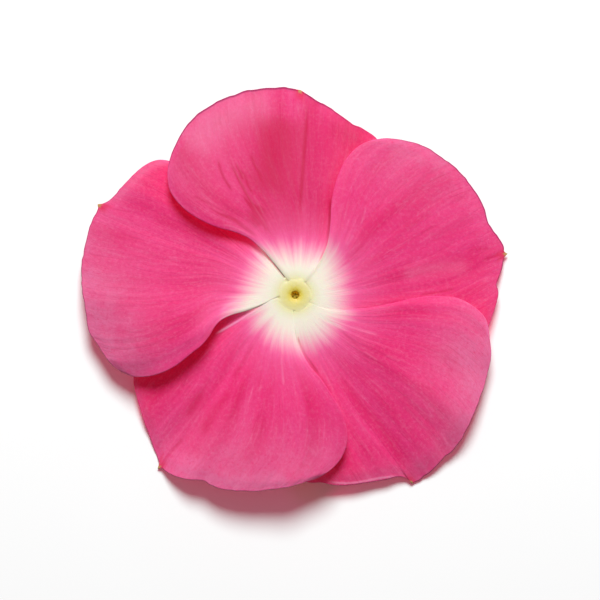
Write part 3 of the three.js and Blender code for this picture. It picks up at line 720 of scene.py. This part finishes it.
def lobe_plan(lobe, u, v):
    """Plan of a lobe's grid: the surface spanned by its two sides, its claw and its outer edge."""
    steps = 40
    dense = spline(lobe["outline"], steps)
    first, last = (steps * corner for corner in lobe["corners"])
    sides = along(dense[:first + 1], v), along(dense[last:][::-1], v)
    edge = outer_edge(lobe, dense, steps, u)
    for side, corner in zip(sides, (edge[0], edge[-1])):
        side[0] *= CLAW_START / norm(side[0])
        side[-1] = corner
    low, high = sides
    claw = low[0] + (high[0] - low[0]) * u[:, None]
    claw *= CLAW_START / norm(claw, axis=1, keepdims=True)
    s, t = u[None, :, None], v[:, None, None]
    return ((1 - s) * low[:, None] + s * high[:, None] + (1 - t) * claw[None] + t * edge[None]
            - (1 - t) * ((1 - s) * claw[0] + s * claw[-1]) - t * ((1 - s) * edge[0] + s * edge[-1]))


def fold_strength(number, x, y):
    """Sums of a lobe's creases (painted shade) and of its crests (painted highlights) at each place, both 0
    or more, and the folds' relief.
    """
    dark, pale, relief = np.zeros(x.shape), np.zeros(x.shape), np.zeros(x.shape)
    for strength, width, *points in FOLDS[number]:
        away, share = near(spline(points, 4), x, y)
        ends = smooth(0, FOLD_FADE, share), smooth(1, 1 - FOLD_FADE, share)
        size = abs(strength) * np.exp(-((away / width) ** 2)) * ends[0] * ends[1]
        if strength < 0:
            dark += size
        else:
            pale += size
        if width < FLAT_FOLD:
            relief += math.copysign(FOLD_HEIGHT, strength) * size
    return dark, pale, relief


def lobe_height(lobe, number, x, y, u, v):
    """Middle height of a lobe's blade, kept above the surface that the flower lies on."""
    radius = np.hypot(x, y)
    bearing = np.degrees(np.arctan2(y, x))
    turn = (bearing - lobe["bearing"] + 180) % 360 - 180
    out = np.maximum(0, (radius - CLAW_RADIUS) / (LOBE_REACH - CLAW_RADIUS))
    droop = (edge_height(bearing) - EYE_HEIGHT) * out ** DROOP_POWER
    pitch = (CLAW_PITCH + PITCH * smooth(PITCH_FROM, PITCH_FULL, radius)) * (turn / FIFTH)
    rise_from, rise_to, fall_from, fall_to = lobe["lift_zone"]
    lift = lobe["lift"] * smooth(15, 50, turn) * smooth(rise_from, rise_to, radius)
    lift = lift * smooth(fall_to, fall_from, radius)
    groove = VALLEY_DEPTH * np.exp(-(((u - MIDRIB) / VALLEY_WIDTH) ** 2)) * smooth(5, 12, radius)
    waves = WAVE_HEIGHT * noise(x / WAVE_LENGTH, y / WAVE_LENGTH, 20 + number) * smooth(4, 12, radius)
    ripple = RIPPLE_HEIGHT * noise((lobe["bearing"] + turn) / RIPPLE_TURN, number, 31) * smooth(0.7, 1, v)
    curl = OUTER_CURL * smooth(0.93, 1.0, v) + SIDE_CURL * smooth(0.95, 1.0, u)
    wander = u + 0.012 * noise(v * 5, u * 4, 41 + number)
    veins = sum(tall * noise(wander * wide, v * long, seed + number) for tall, wide, long, seed in VEINS)
    height = EYE_HEIGHT + droop + pitch + lift - groove + waves + ripple - curl
    height = height + veins * smooth(4, 11, radius)
    lowest, soft = BLADE / 2, 0.12
    return (height + lowest + np.sqrt((height - lowest) ** 2 + soft ** 2)) / 2


def edge_steps(count, close_start):
    """Even steps from 0 to 1, but close together at the end and, if asked, at the start."""
    start = CLOSE_STEPS if close_start else np.empty(0)
    middle = np.linspace(CLOSE_END if close_start else 0, 1 - CLOSE_END, count)
    return np.hstack([start, middle, 1 - CLOSE_STEPS[::-1]])


def star_reach(lobe, u):
    """How far the cream star reaches up a lobe, at each share of its width."""
    clockwise, rib, counter = lobe["star"]
    below = clockwise + (rib - clockwise) * smooth(0, MIDRIB, u)
    above = rib + (counter - rib) * smooth(0.6, 1.05, u)
    return np.where(u < MIDRIB, below, above)


LAPPED_THROUGH = 0.85  # share of the light that passes near the clockwise side, which another lobe laps
OTHER_WAY_ROUND = [0, 3, 2, 1]


def quads(grid):
    """The faces between the points of a numbered grid."""
    return np.stack([grid[:-1, :-1], grid[1:, :-1], grid[1:, 1:], grid[:-1, 1:]], -1).reshape(-1, 4)


def blade_faces(rows, columns):
    """Faces round a grid, whose upper and lower side share all edges but the claw's.

    Also gives each point's place in the grid, its side (1 above, -1 below), and the number of upper faces."""
    index = np.arange(rows * columns).reshape(rows, columns)
    shared = np.zeros((rows, columns), bool)
    shared[:, 0] = shared[:, -1] = shared[-1] = True
    below = np.where(shared, index, index + rows * columns)
    used = np.concatenate([np.ones(index.size, bool), ~shared.ravel()])
    renumber = np.cumsum(used) - 1
    upper, lower = quads(index), quads(below)[:, OTHER_WAY_ROUND]
    claw = quads(np.stack([index[0], below[0]]))[:, OTHER_WAY_ROUND]
    faces = [list(dict.fromkeys(renumber[f])) for f in np.concatenate([upper, lower, claw])]
    kept = np.flatnonzero(used)
    return faces, kept % index.size, np.where(kept < index.size, 1, -1), len(upper)


def petal_values(number, lobe, x, y, u, v, inset, dark, pale):
    """The values that a petal's looks read at each point, in pairs by UV map."""
    beyond = np.hypot(x, y) - star_reach(lobe, u)
    through = lobe["through"] + (LAPPED_THROUGH - lobe["through"]) * smooth(0.22, 0.05, u)
    return {
        "Blade": (u, v),
        "Star": (beyond, inset / lobe["edging"]),
        # painted shade of creases and painted highlight of crests
        "FoldShadeAndHighlight": (dark, pale),
        # the lobe's painted shade (tone), and how pale its outer part is
        "LobeShadeAndPale": (lobe["tone"], lobe["pale"]),
        "Thin": (through, lobe["pale_from"]),
        "Veins": (u + 3.0 * number, v + 1.7 * number),    # no two lobes have the same noises
    }


def lobe_piece(number, lobe, materials):
    """One petal lobe as a closed skin round the grid of its middle surface."""
    u, v = edge_steps(ACROSS, True), edge_steps(ALONG, False)
    plan = lobe_plan(lobe, u, v)
    u, v = u[None, :], v[:, None]
    x, y = plan[..., 0], plan[..., 1]
    width = norm(plan[:, -1] - plan[:, 0], axis=1)[:, None]
    length = norm(plan[-1] - plan[0], axis=1)[None, :]
    inset = np.minimum(np.minimum(u, 1 - u) * width, (1 - v) * length)
    dark, pale, relief = fold_strength(number, x, y)
    middle = lobe_height(lobe, number, x, y, u, v) + relief
    near_claw = smooth(CLAW_FROM, CLAW_TO, np.hypot(x, y))
    rounding = np.sqrt(1 - (1 - np.clip(inset / (MARGIN * (1 + near_claw)), 0, 1)) ** 2)
    half = (BLADE + (CLAW_BLADE - BLADE) * near_claw) / 2 * rounding

    faces, source, side, top_count = blade_faces(*x.shape)
    grids = np.broadcast_arrays(x, y, middle, half, u, v, inset, dark, pale)
    x, y, middle, half, *rest = (grid.ravel()[source] for grid in grids)
    points = np.stack([x, y, middle + side * half], -1)
    corners = np.hstack(faces)
    maps = {name: np.stack(np.broadcast_arrays(*pair, x)[:2], -1)[corners]
            for name, pair in petal_values(number, lobe, x, y, *rest).items()}
    low, high = points[:, :2].min(0), points[:, :2].max(0)
    is_top = (np.repeat(np.arange(len(faces)), [len(f) for f in faces]) < top_count)[:, None]
    bake_place = (points[corners, :2] - low) / (high - low) * (0.48, 0.98)
    maps["OFBake"] = bake_place + np.where(is_top, (0.01, 0.01), (0.51, 0.01))
    face_materials = (np.arange(len(faces)) >= top_count).astype(int)
    return add_mesh(f"lobe_{number + 1}", points, faces, materials, "corolla_limb",
                    face_materials, maps)


# ---- the rim of the mouth ----

RIM_TONE = 0.93
RIM_ANGLES = 0.015  # how far its five angles stand out, as a share of its radius
RIM_PITS = (51.8, 120.6, 187.0, 265.0, 335.7)  # bearings of the pits where two lobes meet the rim
PIT_PLACE, PIT_WIDTH, PIT_DEPTH = 2.0, 0.2, 0.06
RIM_PROFILE = (
    (1.5, -0.3), (2.0, -0.1), (2.35, 0.17), (2.1, 0.228), (1.8, 0.265), (1.5, 0.29), (1.2, 0.3),
    (0.95, 0.29), (0.76, 0.26), (0.6, 0.215), (0.5, 0.17), (0.44, 0.09), (0.42, -0.05), (0.46, -0.3),
    (0.62, -0.7), (1.0, -0.72))


def to_pits(points):
    """Distance in plan from each point to the nearest pit of the rim."""
    pits = np.radians(RIM_PITS)
    pits = PIT_PLACE * np.stack([np.cos(pits), np.sin(pits)], -1)
    return norm(points[:, None, :2] - pits, axis=-1).min(axis=1)


def throat_rim():
    """A raised ring with five soft angles, whose inside runs down into the mouth."""
    rings = []
    for radius, z in spline(RIM_PROFILE, 6):
        share = RIM_ANGLES * smooth(0.5, 2.3, radius)
        angled = lambda a: radius * (1 + share * np.cos(5 * (a - math.radians(RIM_PITS[0]))))
        ring = circle(180, angled, EYE_HEIGHT + z)
        ring[:, 2] += 0.008 * noise(ring[:, 0] * 4, ring[:, 1] * 4, 71)
        ring[:, 2] -= PIT_DEPTH * np.exp(-((to_pits(ring) / PIT_WIDTH) ** 2))
        rings.append(ring)
    points, faces = loft(rings, closed=True)
    corners = np.hstack(faces)
    dots = np.stack([to_pits(points), np.zeros(len(points))], -1)[corners]
    add_mesh("throat_rim_fine", points, faces, [rim_look()], "throat_rim", maps={"Dots": dots})


# ---- the tube, the anthers and the calyx ----

OUTWARD = np.array((math.cos(TUBE_BEARING), math.sin(TUBE_BEARING), 0))
SIDEWAYS = np.array((-OUTWARD[1], OUTWARD[0], 0))
TUBE_RADIUS, MOUTH_RADIUS = 1.1, 0.85
TUBE_WALL = 0.3
TUBE_SIDES = 60


def tube_axis(length):
    """A point of the tube's axis: down from the mouth, round the bend and along the surface."""
    drop = TUBE_TOP - TUBE_AXIS_HEIGHT - TUBE_BEND
    bend = TUBE_BEND * math.pi / 2
    turned = min(max((length - drop) / bend, 0), 1) * math.pi / 2
    reach = TUBE_BEND * (1 - math.cos(turned)) + max(0, length - drop - bend)
    fall = min(length, drop) + TUBE_BEND * math.sin(turned)
    lift = CALYX_LIFT * smooth(TUBE_LENGTH - 8, TUBE_LENGTH + 2, length)
    return OUTWARD * reach + (0, 0, TUBE_TOP - fall + lift)


def tube_direction(length):
    step = tube_axis(length + 0.05) - tube_axis(length - 0.05)
    return step / norm(step)


def tube_radius(length):
    """Wide where it joins the limb, then swollen round the anthers, and slender further on."""
    seat = 0.9 * (1 - smooth(0, 0.7, length))
    swelling = 0.5 * (1 - smooth(3, 7, length))
    return TUBE_RADIUS + seat + swelling - 0.15 * smooth(16, TUBE_LENGTH, length)


def ring_at(length, centre, radii):
    """A ring about a centre, square to the tube's axis there, with these radii in even steps round it."""
    angle = full_turn(len(radii))
    across = np.cross(tube_direction(length), SIDEWAYS)
    return centre + np.outer(radii * np.cos(angle), SIDEWAYS) + np.outer(radii * np.sin(angle), across)


def axis_ring(length, radii):
    """A ring about the tube's axis, kept above the surface that the flower lies on."""
    ring = ring_at(length, tube_axis(length), radii)
    ring[:, 2] = np.maximum(0, ring[:, 2])
    return ring


def corolla_tube():
    angle = full_turn(TUBE_SIDES)
    ribs = 0.035 * np.cos(5 * angle) + 0.012 * np.cos(15 * angle)
    stations = np.linspace(0, TUBE_LENGTH, 110)
    inner = []
    for s in (*stations[stations > 0.3][::-1], 0):
        bore = min(tube_radius(s) - TUBE_WALL, MOUTH_RADIUS + 0.4 * smooth(0.3, 1, s))
        inner.append(axis_ring(s, np.full(TUBE_SIDES, bore)))
    outer = [axis_ring(s, tube_radius(s) * (1 + ribs * smooth(0.5, 3, s))) for s in stations]
    points, faces = loft([*inner, *outer])
    look = plain_look("tube_green", srgb(188, 196, 128), srgb(214, 190, 160), 1.2, 0.6, 0.04,
                      Subsurface_Weight=0.3, Subsurface_Radius=(1.0, 0.8, 0.4), Subsurface_Scale=0.5 * MM)
    add_mesh("corolla_tube_fine", points, faces, [look], "corolla_tube")


ANTHER_TOP = -0.3  # along the tube's axis, just under the mouth
ANTHER_LENGTH, ANTHER_GIRTH = 2.3, 0.34
ANTHER_TURN = 20  # bearing of the first anther about the axis
STYLE_PROFILE = ((0.5, 1.2), (0.5, 0.1), (0.42, -0.06), (0.25, -0.12), (0.02, -0.14))  # radius, place


def anther(turn):
    """A plump spindle that leans out a little, grooved down its outer face."""
    rings = []
    for t in np.linspace(0, 1, 22):
        length = ANTHER_TOP + ANTHER_LENGTH * t
        girth = ANTHER_GIRTH * math.sin(math.pi * min(max(t, 0.12), 0.98)) ** 0.55
        lean = 0.27 + 0.13 * smooth(0, 0.8, t)
        angle = full_turn(20)
        groove = 1 - 0.18 * np.exp(-((np.angle(np.exp(1j * (angle - turn))) / 0.35) ** 2))
        across = np.cross(tube_direction(length), SIDEWAYS)
        centre = tube_axis(length) + lean * (math.cos(turn) * SIDEWAYS + math.sin(turn) * across)
        rings.append(ring_at(length, centre, girth * groove))
    return loft(rings)


def anthers():
    """Five pollen-dusted anthers that meet in a cone, round a column for the style's head."""
    look = plain_look("anther_gold", srgb(138, 120, 8), srgb(176, 150, 34), 5.0, 0.7, 0.05)
    style = loft([axis_ring(place, np.full(24, radius)) for radius, place in STYLE_PROFILE])
    spindles = [anther(math.radians(FIFTH * i + ANTHER_TURN)) for i in range(5)]
    points, faces = gathered([*spindles, style])
    add_mesh("anthers_fine", points, faces, [look], "anthers")


CALYX_GAP = 0.3  # clearance between the tube's end and the calyx
CALYX_LOWEST = 0.02
CUP_PROFILE = (
    (0.02, -2.7), (0.5, -2.68), (0.55, -2.5), (0.52, -1.9), (0.6, -1.45), (1.1, -1.1),
    (1.5, -0.6), (1.62, -0.1), (1.45, 0.02), (0.02, 0.0))   # radius and height, from the stalk's cut end up
STALK_RADIUS = 0.7
SEPAL_SEAT, SEPAL_LENGTH = 1.42, 4.3


def calyx_cup():
    """A short cut stalk that widens into a cup with five soft lobes."""
    sides = 48
    lobed = 1 + 0.05 * np.cos(5 * full_turn(sides))
    rings = [circle(sides, lambda a: radius * (lobed if radius > STALK_RADIUS else 1), z)
             for radius, z in spline(CUP_PROFILE, 5)]
    return loft(rings)


def sepal(turn):
    """A narrow keeled blade that tapers to a point, turned about the cup's axis."""
    rings = []
    for t in np.linspace(0, 1, 30):
        angle = full_turn(16)
        wide = 0.42 * (1 - t) ** 0.7 + 0.02
        thick = 0.2 * (1 - t) ** 0.5 + 0.02
        out = SEPAL_SEAT + 0.25 * t * t
        keel = thick * np.sin(angle) + 0.05 * np.cos(angle) ** 2
        height = np.full(16, -0.5 + SEPAL_LENGTH * t)
        rings.append(np.stack([out + keel, -wide * np.cos(angle), height], -1))
    points, faces = loft(np.array(rings)[:, ::-1])
    spin = Matrix.Rotation(turn, 3, "Z")
    return [tuple(spin @ Vector(point)) for point in points], faces


def calyx():
    """The cup and five sepals, turned so that they open towards the tube."""
    look = plain_look("calyx_green", srgb(84, 122, 48), srgb(126, 156, 74), 2.0, 0.65, 0.05)
    sepals = [sepal(math.radians(FIFTH * i)) for i in range(5)]
    points, faces = gathered([calyx_cup(), *sepals])
    points = np.asarray(points, float)
    forward = -tube_direction(TUBE_LENGTH)
    upward = np.cross(SIDEWAYS, forward)
    seat = tube_axis(TUBE_LENGTH + CALYX_GAP)
    placed = seat + points[:, :1] * upward + points[:, 1:2] * SIDEWAYS + points[:, 2:] * forward
    placed[:, 2] = np.maximum(placed[:, 2], CALYX_LOWEST)
    add_mesh("calyx_fine", placed, faces, [look], "calyx")


# ---- the stage ----

FLOOR_SIDE = 4.0  # metres
FLOOR_DROP = 0.01  # millimetres under the flower
VIEW_CENTRE = np.array((0.555, -0.59, 3.0)) + THROAT  # what the picture's centre looks at
VIEW_WIDTH = 70.8  # millimetres across the picture
LENS = 240.0
SENSOR = 36.0
KEY_BEARING, KEY_ELEVATION = 88.0, 53.0
KEY_DISTANCE, KEY_SIZE, KEY_POWER = 0.6, 0.25, 5.05  # metres, metres and watts
SKY = 0.14


def pale_floor():
    mesh = bpy.data.meshes.new("floor")
    s = FLOOR_SIDE / 2
    mesh.from_pydata([(-s, -s, 0), (s, -s, 0), (s, s, 0), (-s, s, 0)], [], [(0, 1, 2, 3)])
    floor = bpy.data.objects.new("floor", mesh)
    link(floor)
    floor.location.z = -FLOOR_DROP * MM
    look = Look("floor_white")
    tone = look.noise(look.node("TexCoord", output=3), scale=30, detail=2)
    colour = look.mix(tone, (0.85, 0.85, 0.85), (0.87, 0.87, 0.87))
    mesh.materials.append(look.finish(colour, 0.8, Specular_IOR_Level=0.1))


def studio_light():
    """A pale sky and one soft round lamp above the top of the picture."""
    world = bpy.data.worlds.new("studio")
    bpy.context.scene.world = world
    world.use_nodes = True
    sky = world.node_tree.nodes["Background"].inputs
    sky["Color"].default_value = (1, 1, 1, 1)
    sky["Strength"].default_value = SKY
    key = bpy.data.lights.new("key", "AREA")
    key.shape = "DISK"
    key.size = KEY_SIZE
    key.energy = KEY_POWER
    lamp = bpy.data.objects.new("key", key)
    bearing, elevation = math.radians(KEY_BEARING), math.radians(KEY_ELEVATION)
    level = math.cos(elevation)
    way = Vector((math.cos(bearing) * level, math.sin(bearing) * level, math.sin(elevation)))
    lamp.location = way * KEY_DISTANCE
    lamp.rotation_mode = "QUATERNION"
    lamp.rotation_quaternion = way.to_track_quat("Z", "Y")
    link(lamp)


def camera_above():
    """A long lens straight above the flower, with +Y at the top of the picture."""
    camera = bpy.data.objects.new("camera", bpy.data.cameras.new("camera"))
    camera.data.sensor_width = SENSOR
    camera.data.lens = LENS
    camera.data.clip_start = 0.01
    camera.data.clip_end = 20
    x, y, z = VIEW_CENTRE * MM
    camera.location = (x, y, z + VIEW_WIDTH * MM * LENS / SENSOR)
    link(camera)
    bpy.context.scene.camera = camera
    bpy.context.scene.view_settings.view_transform = "Standard"


petal_looks = [petal_face(), petal_underside()]
for number, lobe in enumerate(LOBES):
    lobe_piece(number, lobe, petal_looks)
throat_rim()
corolla_tube()
anthers()
calyx()
pale_floor()
studio_light()
camera_above()
